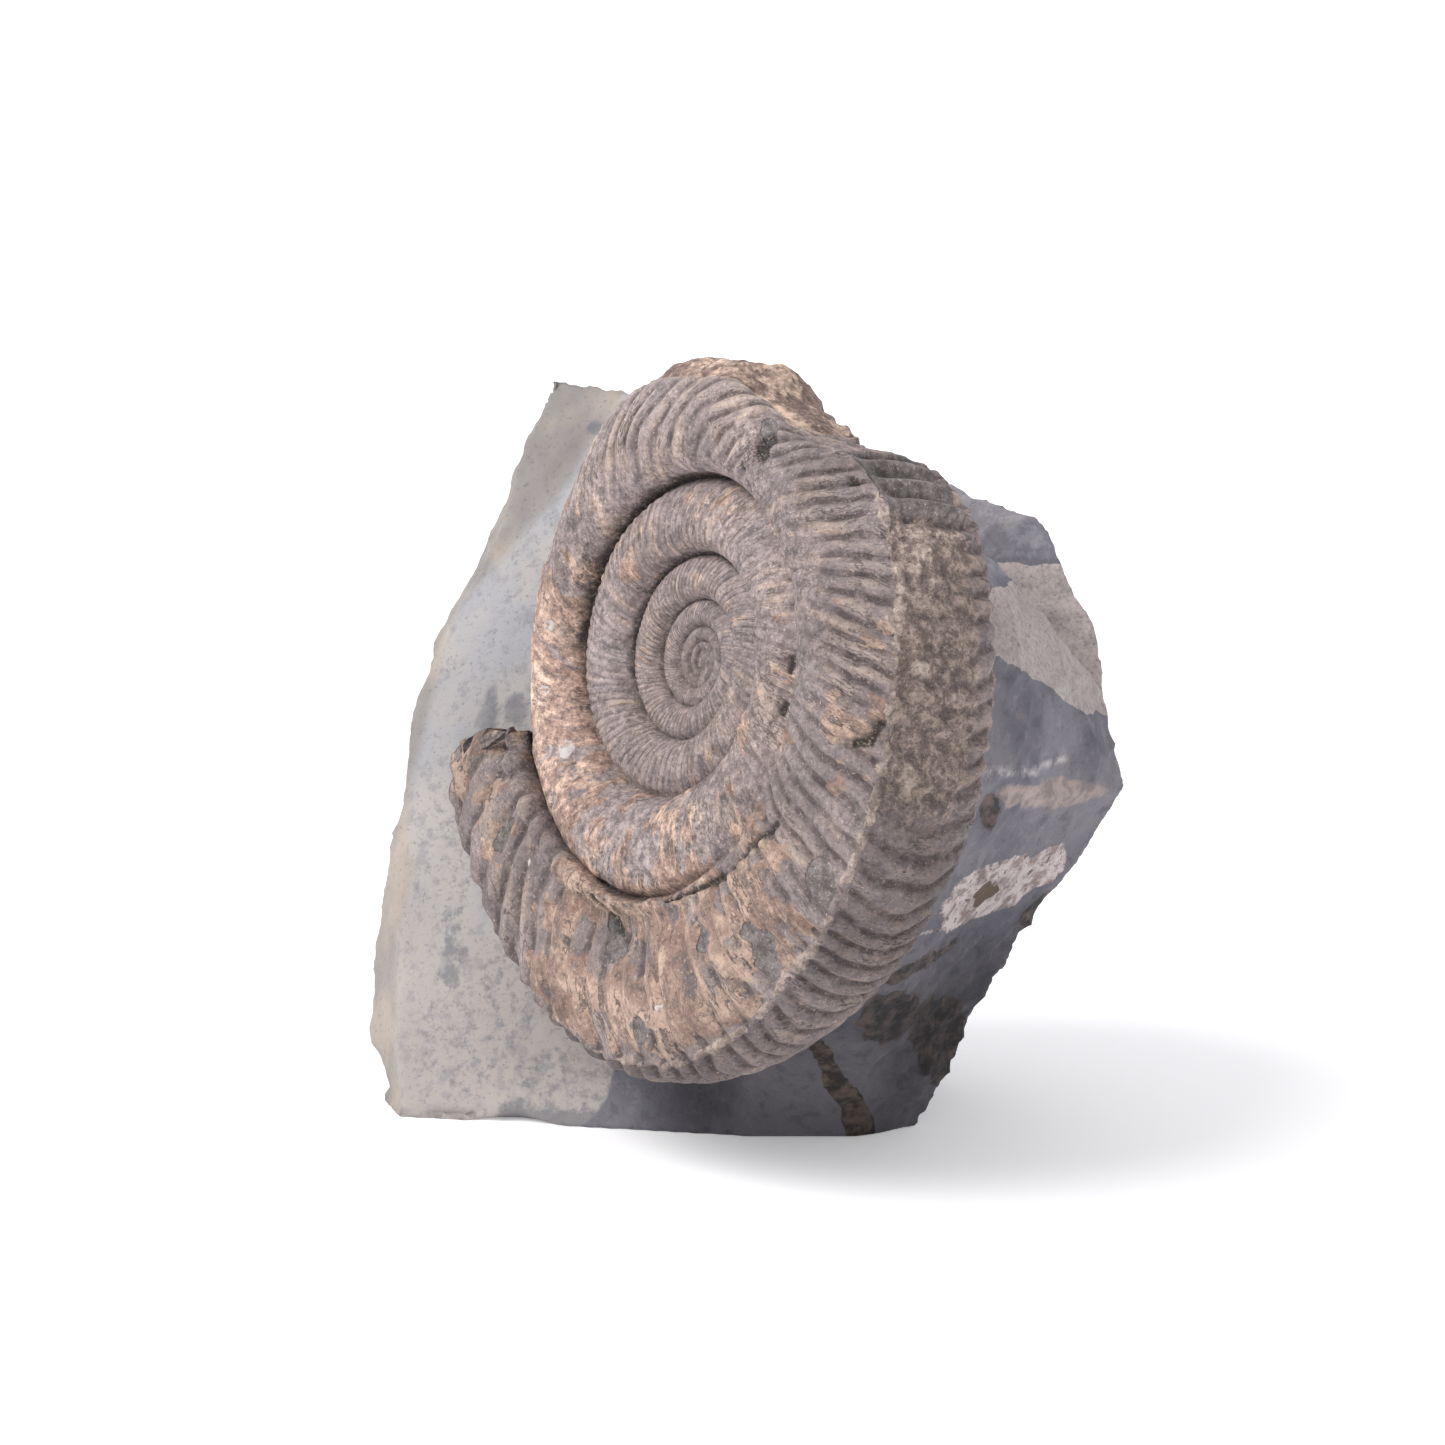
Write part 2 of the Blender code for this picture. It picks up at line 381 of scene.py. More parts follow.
def ribs_so_far(angle, per_whorl):
    fine = np.arange(-220.0, 2200.0)
    return np.interp(angle, fine, np.cumsum(eased(per_whorl, fine)) / 360)


def flank_ribs_so_far(angle, place):
    leaning = eased(LEAN, angle) * (on_outline(place)[..., 0] - INNER_EDGE)
    return ribs_so_far(angle - leaning, RIBS_PER_WHORL)


def edge_ribs_so_far(angle, place):
    bowed = EDGE_BOW * np.cos(np.clip((place - MIDDLE) / EDGE_HALF_WIDTH, -1, 1) * np.pi / 2)
    return ribs_so_far(angle - eased(LEAN, angle) * FORK_FROM_SEAM + bowed, EDGE_RIBS_PER_WHORL)


def rib_profile(count):
    """A broad round crest and a narrower groove, from -1 to 0."""
    wave = 0.5 - 0.5 * np.cos(2 * np.pi * count)
    return wave ** 0.6 - 1


# %% [markdown]
# A rock is never the same all over. Some of the shell has flaked away and shows the smooth mould
# inside, some is under a crust of calcite, and grime and painted shade darken the seams. Each of
# these is a region on the coil, so each is a small entry in a table: where it is, how big it is and
# how it is turned.
# The same regions move the surface here and choose the colours later.

# %% Regions on the coil
# Each entry: its angle, its distance from the axis in seam radii, its half sizes along and across in
# millimetres, and its turn in degrees.
FLAKED = ((54, 1.34, 1.5, 1.2, 60), (-47.5, 1.58, 1.9, 3.4, 10), (-31, 1.67, 2.2, 2.2, 30),
          (-95, 1.20, 1.6, 2.6, -12), (-138, 1.33, 1.8, 3.0, -10), (-60, 1.30, 1.4, 2.0, 8),
          (-84, 1.58, 1.3, 1.6, 0), (57.5, 1.52, 2.4, 1.3, 45))
CHIPS = ((55, 1.40, 3.3, 1.2, 82), (35.7, 1.70, 0.9, 0.5, 0))
SMOOTHED = ((60, 1.40, 3.4, 3.2, 0), (275, 1.35, 7, 4.5, 0), (140, 1.3, 6, 5, 0))
SPAR = ((219, 1.145, 1.0, 1.0, 0), (176, 1.20, 0.7, 0.9, 0), (197, 1.22, 0.5, 0.6, 0),
        (-77.3, 1.512, 0.5, 0.8, 0), (-79.8, 1.565, 0.4, 0.5, 0), (-130.9, 1.332, 0.7, 0.4, 20),
        (-128, 1.25, 0.5, 0.3, 0))

# Each crack is a line of angles and distances. The other tables give a value at each angle.
CRACKS = (((-29, 1.327), (-37, 1.22), (-49, 1.146), (-63, 1.066), (-74, 1.03)),
          ((365, 1.59), (361, 1.575)), ((352, 1.58), (349, 1.56)),
          ((-101, 1.05), (-97, 1.12), (-94, 1.15)),
          ((-9, 1.60), (-8, 1.67), (-5, 1.70)), ((52, 1.02), (57, 1.10), (60, 1.16)))
DENT = ((40, 0), (47, 1.4), (60, 2.8), (74, 2.3), (86, 0.5), (96, 0.2), (112, 0.6), (130, 0.8),
        (150, 0))
SUTURES = ((-156, 1.0), (-105, 1.1), (-96, 0.8), (-70, 0.4), (-50, 0.1), (48, 0.1), (66, 0.7),
           (80, 1.0), (165, 1.0), (204, 0.5), (240, 0.3), (262, 0.5), (290, 0.3), (400, 0.15),
           (432, 0.8), (535, 0.8), (570, 0.5), (660, 0.5), (700, 0.25), (780, 0.3), (810, 0.5),
           (900, 0.5), (1200, 0.3))
OCHRE = ((-160, 0.7), (-150, 0.5), (-138, 0.25), (-120, 0.5), (-100, 0.66), (-45, 0.6), (-20, 0.40),
         (20, 0.2), (110, 0.05), (150, 0.4), (175, 0.85), (225, 0.75), (250, 0.62), (290, 0.58),
         (330, 0.42), (400, 0.38), (500, 0.35), (600, 0.25), (1400, 0.1))
BROKEN_RIM = ((52, 1.83), (58, 1.80), (65, 1.755), (74, 1.69), (84, 1.58), (92, 1.585), (105, 1.615),
              (130, 1.64), (165, 1.8))
SHOULDER = ((20, 5.9), (40, 7.4), (95, 7.4), (115, 5.9))
# The tone tables make the coil lighter or darker by angle: partly its own colour, partly painted light
# on the top, on the left rim and on the upper outer edge, and painted shade on the lower outer edge.
FLANK_TONE_AND_LIGHT = ((-156, 0.88), (-110, 0.95), (-40, 0.95), (-10, 0.92), (40, 1.0), (70, 1.34),
              (125, 1.34), (142, 1.0), (160, 1.12), (180, 1.5), (215, 1.5), (245, 1.25))
EDGE_TONE_AND_LIGHT = ((-140, 0.8), (-95, 0.66), (-20, 0.68), (5, 0.88), (30, 1.1), (60, 1.2))


def region(angle, distance, radius, entry, uneven, blur):
    """1 inside an egg-shaped region, and 0 outside, with an edge that uneven and blur break up."""
    centre_angle, centre_distance, half_along, half_across, turned = entry
    along = np.radians(angle - centre_angle) * centre_distance * radius
    across = (distance - centre_distance) * radius
    turn = math.radians(turned)
    first = (along * math.cos(turn) + across * math.sin(turn)) / half_along
    second = (across * math.cos(turn) - along * math.sin(turn)) / half_across
    return ramp(np.hypot(first, second) + 1.4 * blur * uneven, 1.25, 0.75)


def any_region(angle, distance, radius, entries, uneven, blur):
    return np.max([region(angle, distance, radius, entry, uneven, blur) for entry in entries], axis=0)


def from_path(angle, distance, path):
    """The distance in millimetres to a line that is drawn on the flank."""
    radius = seam_radius(path[0][0])
    middle = sum(place for _, place in path) / len(path)
    size = (math.radians(1) * middle * radius, radius)
    line = [np.multiply(corner, size) for corner in path]
    away = from_line(angle.ravel() * size[0], distance.ravel() * size[1], line)
    return np.abs(away).reshape(angle.shape)


# %% [markdown]
# Sculpting works in layers, as it does by hand. First comes a map of the strip: where the skin has
# flaked off, where a ridge of calcite or a knobbly crust covers it, and where the rim is broken.

# %% Where the skin is flaked, broken or crusted
RIDGE_PLACE = 6.15
PLACE_TO_RADIUS = 0.115


def skin_regions(angle, place, radius, noise, streaks):
    """The regions of a strip by name, each from 0 to 1 at every point."""
    distance = on_outline(place)[..., 0]
    uneven = noise(3, 3, 17, 0.6)

    def marked(entries, blur):
        return any_region(angle, distance, radius, entries, uneven, blur)

    ridge_stretch = span(angle, -112, -100, 24, 40)
    off_ridge = np.abs(place - RIDGE_PLACE + 0.35 * noise(6, 2, 18)) * PLACE_TO_RADIUS * radius
    ridge = ramp(off_ridge, 0.9 + 0.5 * uneven, 0.15) * ridge_stretch
    patchy = 0.8 * ramp(noise(3.5, 4, 19, 0.65), 0.0, 0.35)
    patchy = patchy * span(angle, -25, -5, 20, 34) * span(place, 5.4, 6.0, 7.6, 8.2)
    crust = np.maximum(ridge * ramp(noise(2.5, 3, 20), -0.35, 0.1), patchy)
    knobbly = span(angle, -30, -5, 24, 32) * span(place, 5.7, 6.3, 9, 12)
    lumpy = ramp(angle + 2 * uneven, 24, 25.5) * ramp(angle, 45, 43)
    lumpy = lumpy * ramp(place + 0.4 * uneven, 6.1, 6.5) * ramp(place, 11.5, 10.5)

    rim_edge = eased(BROKEN_RIM, angle)
    rim = ramp(distance, rim_edge - 0.02, rim_edge + 0.03)
    rim = rim * span(angle, 54, 64, 160, 168) * ramp(place, 13, 12)
    bare = marked(FLAKED, 0.7) * (1 - crust)
    ochre_share = eased(OCHRE, angle) * np.where(angle < FIRST_JOIN, ramp(distance, 1.76, 1.70), 1)
    scales = 0.5 * streaks(3.6, 3, 14) + 0.6 * noise(4.5, 4, 15, 0.6)
    flakes = ramp(scales, 0.50 - ochre_share, 0.62 - ochre_share) * ramp(ochre_share, 0.02, 0.2)
    flakes = flakes * (1 - bare) * (1 - lumpy)
    return SimpleNamespace(
        ridge_stretch=ridge_stretch, crust=crust, knobbly=knobbly, lumpy=lumpy, rim=rim, bare=bare,
        ochre_share=ochre_share, flakes=flakes, chips=marked(CHIPS, 0.25),
        smoothed=marked(SMOOTHED, 0.5), spar=marked(SPAR, 0.6))


# %% [markdown]
# The ribs are then cut by that map, weaker where the shell is worn. The flaked places are lowered
# and smoothed, the crusts are laid on, and last the cracks and the seams are dug. Apart from the lip
# of the mouth, no point rises more than HIGHEST above the smooth coil, so the fossil fits its bed.

# %% The height of the ribs and of the skin
def rib_strength(angle, place, skin):
    """The height of the ribs, as a share of the full one."""
    distance = on_outline(place)[..., 0]
    at_mouth = ramp(angle, -90, -115)
    inner = ramp(angle, 150, FIRST_JOIN)
    strength = ramp(place, 0.8 - 0.6 * at_mouth, 2.6 - 1.6 * at_mouth) * ramp(place, 17.5, 15)
    faded = 0.60 - 0.35 * span(angle, 190, 225, 300, 330) - 0.15 * ramp(angle, 575, 540)
    strength = strength * (1 - inner) + span(place, 0.3, 1.6, 5.3, 6.0) * inner * faded
    strength = strength * (1 - 0.55 * span(angle, 118, 135, 204, 240))
    strength = strength * (1 - 0.7 * span(angle, -15, 5, 45, 70) * ramp(distance, 1.5, 1.3))
    strength = strength * (1 - skin.rim) * (1 - 0.7 * skin.smoothed)
    return strength * (1 - 0.45 * skin.knobbly) * (1 - skin.lumpy)


def skin_height(angle, place, skin, noise):
    """How far the flaked, broken and crusted places stand up or lie low, in millimetres."""
    big_lumps = rib_profile(angle / 4.7 + 0.1) * 1.6
    height = skin.lumpy * (big_lumps * ramp(place, 6.2, 7.2) - 0.1)
    height = height + skin.knobbly * (0.9 * noise(3, 3, 27, 0.6) - 0.5)
    height = height + skin.rim * (0.9 * noise(4.5, 3, 21, 0.6) - 0.75)
    height = height - eased(DENT, angle) * span(place, 4.9, 6.6, 14, 17)
    height = height - 0.28 * ramp(skin.ochre_share, 0.1, 0.5) * (1 - skin.flakes)
    height = height - 0.35 * (1 - skin.crust) * skin.ridge_stretch
    height = height - 0.45 * skin.bare - 0.6 * skin.chips + 0.25 * skin.spar
    eroded = 0.5 + 0.35 * span(angle, 120, 160, 215, 250) + 0.2 * skin.ochre_share
    grit = noise(1.7, 4, 9, 0.6) * 0.2 + noise(5, 2, 12) * 0.3
    return height + grit * eroded * (1 - 0.8 * skin.bare)


# %% Sculpting one strip
ALONG_PER_RIB = 2.1
HIGHEST = 0.05
MOUTH_SWELL = 1.2
CRACK_DEPTH = 0.7


def sculpt(angle, place, points):
    """How far each point moves along its normal, in millimetres, and what it is made of."""
    flat = points.reshape(-1, 3)
    radius = seam_radius(angle)
    across = across_outline(place) * radius

    def noise(size, octaves, seed, keep=0.5):
        return rough(flat, size, octaves, seed, keep).reshape(angle.shape)

    wobble = noise(9, 3, 3) * 0.5
    flank_count = flank_ribs_so_far(angle, place) + wobble
    edge_count = edge_ribs_so_far(angle, place) + wobble
    along = flank_count * ALONG_PER_RIB
    ribwise = np.stack((along, across * 0.28, angle / 360 * 40), axis=-1).reshape(-1, 3)

    def streaks(size, octaves, seed):
        return rough(ribwise, size, octaves, seed, 0.6).reshape(angle.shape)

    skin = skin_regions(angle, place, radius, noise, streaks)
    shoulder = eased(SHOULDER, angle)
    on_edge = ramp(place, shoulder, shoulder + 0.6) * ramp(place, 12.2, 11.5)
    on_edge = on_edge * (1 - ramp(angle, 150, FIRST_JOIN))
    worn = ramp(noise(8, 3, 5), 0.0, 0.5) * (1 - on_edge * 0.6)
    strength = rib_strength(angle, place, skin) * (1 - 0.6 * worn)
    crest = rib_profile(flank_count) * (1 - on_edge) + rib_profile(edge_count) * on_edge
    moved = crest * radius * RIB_HEIGHT * strength * (1 - 0.85 * skin.bare)
    moved = moved + skin_height(angle, place, skin, noise) - 1.3 * ramp(angle, -150, -161) ** 2
    off_seam = span(place, 0, 0.5, 17.5, LAST_PLACE)
    moved = moved * off_seam * np.where(angle > FIRST_JOIN, ramp(place, OUTER_SEAM, 5.6), 1)

    distance = on_outline(place)[..., 0]
    jagged = 0.25 * noise(2, 2, 23)
    # The deep mask marks chips and cracks, which the material darkens with grime and painted shade.
    deep = skin.chips * 0.9
    for path in CRACKS:
        near = ramp(from_path(angle, distance, path) + jagged, 0.75, 0.15)
        near = near * (np.abs(angle - path[0][0]) < 60)
        moved = moved - CRACK_DEPTH * near
        deep = np.maximum(deep, near)
    swell = MOUTH_SWELL * ramp(angle, -90, -115) * ramp(angle, -154, -146)
    moved = np.minimum(moved, HIGHEST) + swell * span(place, 0, 0.7, 1.0, 2.6)

    # The tone carries painted light on the top and left of the coil and painted shade on its lower
    # outer edge.
    tone = eased(FLANK_TONE_AND_LIGHT, angle) * (1 - on_edge) + eased(EDGE_TONE_AND_LIGHT, angle) * on_edge
    made_of = {"ribs": np.where(on_edge > 0.5, edge_count, flank_count), "along": along,
               "across": across, "relief": strength * (1 - skin.bare), "ochre": skin.flakes,
               "bare": np.maximum(skin.bare, skin.lumpy), "crust": skin.crust, "rim": skin.rim,
               "spar": skin.spar, "knobbly": skin.knobbly, "deep": deep,
               "tone": tone + 0.25 * noise(12, 2, 24)}
    return moved, made_of


# %% Digging the seams
FULL_SEAM_RADIUS = 18
SEAM_DEPTH = 1.1


def seam_depth(angle, place, points):
    """How deep the seams on both sides of a strip are dug, in millimetres, and where grime and painted
    shade lie.
    """
    radius = seam_radius(angle)
    inside = across_outline(place) * radius
    to_outer = across_outline(float(OUTER_SEAM)) * radius - inside
    flank = np.where((angle > FIRST_JOIN) & (place <= OUTER_SEAM), to_outer, 99)
    uneven = 0.35 * rough(points.reshape(-1, 3), 2.5, 3, 26).reshape(angle.shape)
    wide = np.clip(radius / FULL_SEAM_RADIUS, 0.2, 1)
    outer_wide = np.clip(radius * COIL_GROWTH / FULL_SEAM_RADIUS, 0.2, 1)
    inner_seam = eased(SUTURES, angle)
    outer_seam = eased(SUTURES, angle - 360)
    depth = SEAM_DEPTH * ramp(inside / wide, 1.6, 0.2) * inner_seam * wide
    outer_depth = SEAM_DEPTH * ramp(flank / outer_wide, 0.9, 0.1) * outer_seam * outer_wide
    reach = 2.1 - 1.2 * ramp(angle, -90, -115)
    # Grime and painted shade: a dark band along each seam, strongest where the SUTURES table is high.
    grime_and_shade = ramp((inside / wide + uneven) / reach, 1.0, 0.05) * inner_seam
    outer_grime_and_shade = ramp(flank / outer_wide + uneven, 0.7, 0.0) * outer_seam
    return np.maximum(depth, outer_depth), np.maximum(grime_and_shade, outer_grime_and_shade)


# %% Placing the strips and joining them
def whorl_strip(name, rows, start):
    """Makes one strip, with its regions painted on it, and returns the angles of its inner edge."""
    strip, row, column = flat_strip(name, len(rows))
    place, start = np.meshgrid(rows, start, indexing="ij")
    angle = np.array([strip_angles(*line) for line in zip(start, place)])
    points = coil_surface(angle, place)
    moved, made_of = sculpt(angle, place, points)
    points = points + surface_normal(angle, place) * moved[..., None]
    dug, grime_and_shade = seam_depth(angle, place, points)
    points[..., 2] -= dug
    made_of["deep"] = np.maximum(made_of["deep"], grime_and_shade)
    placed = points[row, column] @ np.array(COIL_TURNED.transposed()) + np.array(COIL_CENTRE)
    write(strip.data, placed)
    for mask, values in made_of.items():
        paint(strip.data, mask, values[row, column])
    return strip, angle[0]


column_starts = APERTURE_ANGLE + 360 * np.arange(COLUMNS + 1) / COLUMNS
whorls = []
for number, rows in enumerate([OUTER_ROWS] + INNER_ROWS):
    strip, inner_edge = whorl_strip(f"whorl_{number}", rows, column_starts)
    whorls.append(strip)
    column_starts = inner_edge + 360
bpy.ops.object.select_all(action="DESELECT")
for strip in whorls:
    strip.select_set(True)
bpy.context.view_layer.objects.active = whorls[0]
bpy.ops.object.join()
fossil = bpy.context.object
fossil.name = "ammonite_shell"
fossil.data.name = "ammonite_shell"
bpy.ops.object.mode_set(mode="EDIT")
bpy.ops.mesh.select_mode(type="VERT")
bpy.ops.mesh.select_all(action="SELECT")
bpy.ops.mesh.remove_doubles(threshold=2e-6)
bpy.ops.mesh.select_all(action="DESELECT")
bpy.ops.mesh.select_non_manifold(extend=False, use_wire=False, use_multi_face=False,
                                 use_non_contiguous=False, use_verts=False)
bpy.ops.mesh.fill_holes(sides=0)
bpy.ops.mesh.select_all(action="SELECT")
bpy.ops.mesh.normals_make_consistent(inside=False)
bpy.ops.object.mode_set(mode="OBJECT")
bpy.ops.object.shade_smooth()
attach(fossil, "root")
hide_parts("ammonite")
print("ammonite_shell:", len(fossil.data.polygons), "faces")

# %% [markdown]
# ## The block of mudstone
#
# Mudstone breaks into slabs with wavy faces, and where it is thick it breaks like glass, in shallow
# scoops with sharp rims. The plain model already has the slab's corners. A copy of its mesh is
# remeshed into a fine, even net, as a sculptor would start, and then each point is moved along its
# normal: broad waves first, then the scoops, then the grain.

# %% A fine net over the block
rock_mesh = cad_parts["matrix_rock"].data.copy()
rock_mesh.name = "mudstone_block"
rock_mesh.materials.clear()
block = bpy.data.objects.new("mudstone_block", rock_mesh)
bpy.context.scene.collection.objects.link(block)
only(block)
bpy.ops.object.mode_set(mode="EDIT")
bpy.ops.mesh.select_all(action="SELECT")
bpy.ops.mesh.remove_doubles(threshold=1e-6)
bpy.ops.mesh.normals_make_consistent(inside=False)
bpy.ops.object.mode_set(mode="OBJECT")
net = block.modifiers.new("net", "REMESH")
net.mode = "VOXEL"
net.voxel_size = 0.58 * MM
bpy.ops.object.modifier_apply(modifier="net")
soften = block.modifiers.new("soften", "SMOOTH")
soften.factor = 0.5
soften.iterations = 4
bpy.ops.object.modifier_apply(modifier="soften")
print("mudstone_block:", len(block.data.polygons), "faces")


# %% Scoops in the rock
def scallops(points, size, seed):
    """Shell-like scoops, 0 at their rims and -1 at their middles, about one to each size."""
    points = points / size + 3.7 * seed
    cell = np.floor(points).astype(np.int64)
    part = points - cell
    first = np.full(len(points), 9.0)
    second = np.full(len(points), 9.0)
    for step in itertools.product((-1, 0, 1), repeat=3):
        centre = np.array(step) + 0.5 + 0.42 * slope_of(cell + step)
        away = np.linalg.norm(part - centre, axis=1)
        second = np.minimum(second, np.maximum(first, away))
        first = np.minimum(first, away)
    return -np.clip((second - first) * 1.6, 0, 1) ** 0.6


# %% [markdown]
# The broken faces differ. The slab's left face is one smooth bedding plane, while the right side and
# the foot were struck off and are rough, with small ledges low on the right. The scoops bring the
# outline in where the block lost a flake, and the two bulges, which are pairs of a height and a
# width, move its left and right edges out or in. The foot is left flat, so that the rock stands.

# %% Breaking the block
LEFT_CREASE = ((-14.1, 81.5), (-17.5, 76.5), (-19.9, 71.8), (-26.1, 65.2), (-32.2, 58.5), (-34.4, 55.1),
               (-36.4, 46.5), (-38.4, 37.9), (-38.9, 30.4), (-38.1, 27.7), (-39.9, 19.3), (-40.0, 4.8),
               (-39.3, 1.8), (-39.3, -2.0))
LEFT_BULGE = ((0, 0.3), (15, 0.5), (30, 1.0), (45, 1.5), (55, 1.2), (65, 0.5), (75, 1.0), (84, 1.8))
RIGHT_BULGE = ((6, 0), (14, -1.2), (22, -1.7), (30, -1.0), (36, 0.1), (44, 0.2), (50, 0.7), (58, 1.2),
               (66, 0.8), (74, 0))
TIP_RAISED = 1.2
SCOOPS = (((-33, 2.5, -1.5), (9, 5, 4.2), 1.6), ((-43.5, 22, 50), (5, 9, 10), 1.4))


def break_block(points, normals):
    left_face = ramp(points[:, 0], 8, -4) * ramp(normals[:, 1], -0.3, -0.6)
    struck = 1 - left_face
    moved = -0.45 + 0.45 * lumps(points, 26, 1)
    moved += 0.30 * rough(points, 9, 3, 2) * (0.6 + 0.6 * struck)
    moved += struck * (1.0 * scallops(points + 2.5 * lumps(points, 9, 4)[:, None], 11, 3) + 0.35)
    moved += struck * 0.24 * rough(points, 3.2, 3, 5)
    low_right = struck * ramp(points[:, 2], 30, 22) * ramp(points[:, 0], 10, 16)
    ledges = 0.5 * ridges(points * (1, 1, 1.6), 6, 3, 13)
    moved += low_right * (ledges + 0.35 * rough(points, 2.2, 3, 14, 0.65) - 0.5)
    moved += 0.07 * rough(points, 1.6, 3, 6, 0.6)
    edge_side = from_line(points[:, 0], points[:, 2], LEFT_CREASE)
    bevel = ramp(edge_side, 1.5, -1.0) * ramp(points[:, 0], 0, -8)
    moved += bevel * (0.45 * ridges(points * (1, 1, 0.6), 7, 3, 8) - 0.55)
    for centre, radii, depth in SCOOPS:
        away = np.linalg.norm((points - np.array(centre)) / np.array(radii), axis=1)
        moved -= depth * ramp(away, 1.0, 0.0)
    foot = ramp(points[:, 2], 2.5, 0.6) * ramp(normals[:, 2], -0.5, -0.9)
    moved *= 1 - foot
    moved_points = points + normals * moved[:, None]
    x, z = moved_points[:, 0], moved_points[:, 2]
    widened = -eased(LEFT_BULGE, z) * ramp(x, -12, -32) + eased(RIGHT_BULGE, z) * ramp(x, 8, 30)
    moved_points[:, 0] = x + widened
    moved_points[:, 2] = z + TIP_RAISED * ramp(z, 68, 80)
    return moved_points


broken = break_block(*read(block.data))
broken[:, 2] = np.maximum(broken[:, 2], 0)
write(block.data, broken)
only(block)
bpy.ops.object.shade_smooth()
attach(block, "root")
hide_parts("matrix_rock")
print("mudstone_block: broken and set on its foot")

# %% [markdown]
# ## Painting the regions of the rock
#
# The mudstone is pale where it split along a bed and dark slate-blue where it was struck; low under
# the fossil that dark slate is partly the fossil's painted shadow. A sandy bed, partly pale stone and
# partly painted light, with its lower edge where the fossil's painted shadow begins, a tan lens, a
# dark vein, a patch of calcite crystals and rusty hollows lie between. Each is painted here as a
# number at each point, from 0 to 1, and the tone adds painted shade low on the right. The material
# later breaks the soft edges up with fine noise.

# %% The rock's regions
# Each spot: its strength, its middle across and up, its half sizes, and its turn in degrees.
BROWN_SPOTS = ((1, (17, 16.8), (3.6, 3.8), 0), (1, (23.8, 11), (3.6, 7.5), 20),
               (1, (20.5, 23.2), (4.5, 1.0), 18), (1, (34.6, 26.5), (3.5, 1.4), 40),
               (1, (27.0, 41.2), (1.2, 2.2), 0))
CRYSTAL_SPOTS = ((1, (28.4, 31.0), (5.8, 3.9), 8), (1, (34.8, 32.2), (3.0, 2.4), 35),
                 (0.8, (24.5, 28.5), (2.6, 1.3), 30))
CORE_SPOTS = ((1, (27.6, 30.6), (1.5, 1.1), 0),)
LENS_SPOTS = ((1, (34.4, 42.0), (7.2, 1.7), -10),)
DAMP_SPOTS = ((0.55, (-32.6, 20), (1.6, 3.4), 12), (0.55, (-33.4, 15.8), (1.5, 1.8), 0),
              (0.36, (-31, 9), (6.5, 6.5), 30), (0.42, (-20, 5), (6.5, 4), 0),
              (0.34, (-26, 14), (5, 6), 0), (0.3, (-34, 28), (4, 8), 0))
SHADE_SPOTS = ((1, (-29, 45.6), (1.0, 3.0), -8), (1, (-25.8, 46), (1.3, 1.8), 0),
               (1, (-16.9, 78.2), (0.9, 1.0), 0))
SANDY_LINE = ((12.5, 20), (15, 24.5), (20, 27.5), (24, 27))
VEIN_LINE = ((7.5, 15.5), (9.6, 12.5), (11.0, 9.0), (13.0, 5.4), (14.2, 1.5), (14.6, -1))
PALE_LINE = ((25.5, 46.2), (31, 45.3), (36, 45.4))
# The sandy bed's lower edge, where its painted light ends and the fossil's painted shadow begins:
# places across, then the height at each of them.
SANDY_AND_LIT_EDGE = ((20, 28.2, 33.1, 37.7, 42, 46), (60, 58.2, 54.5, 50.4, 48.6, 48))


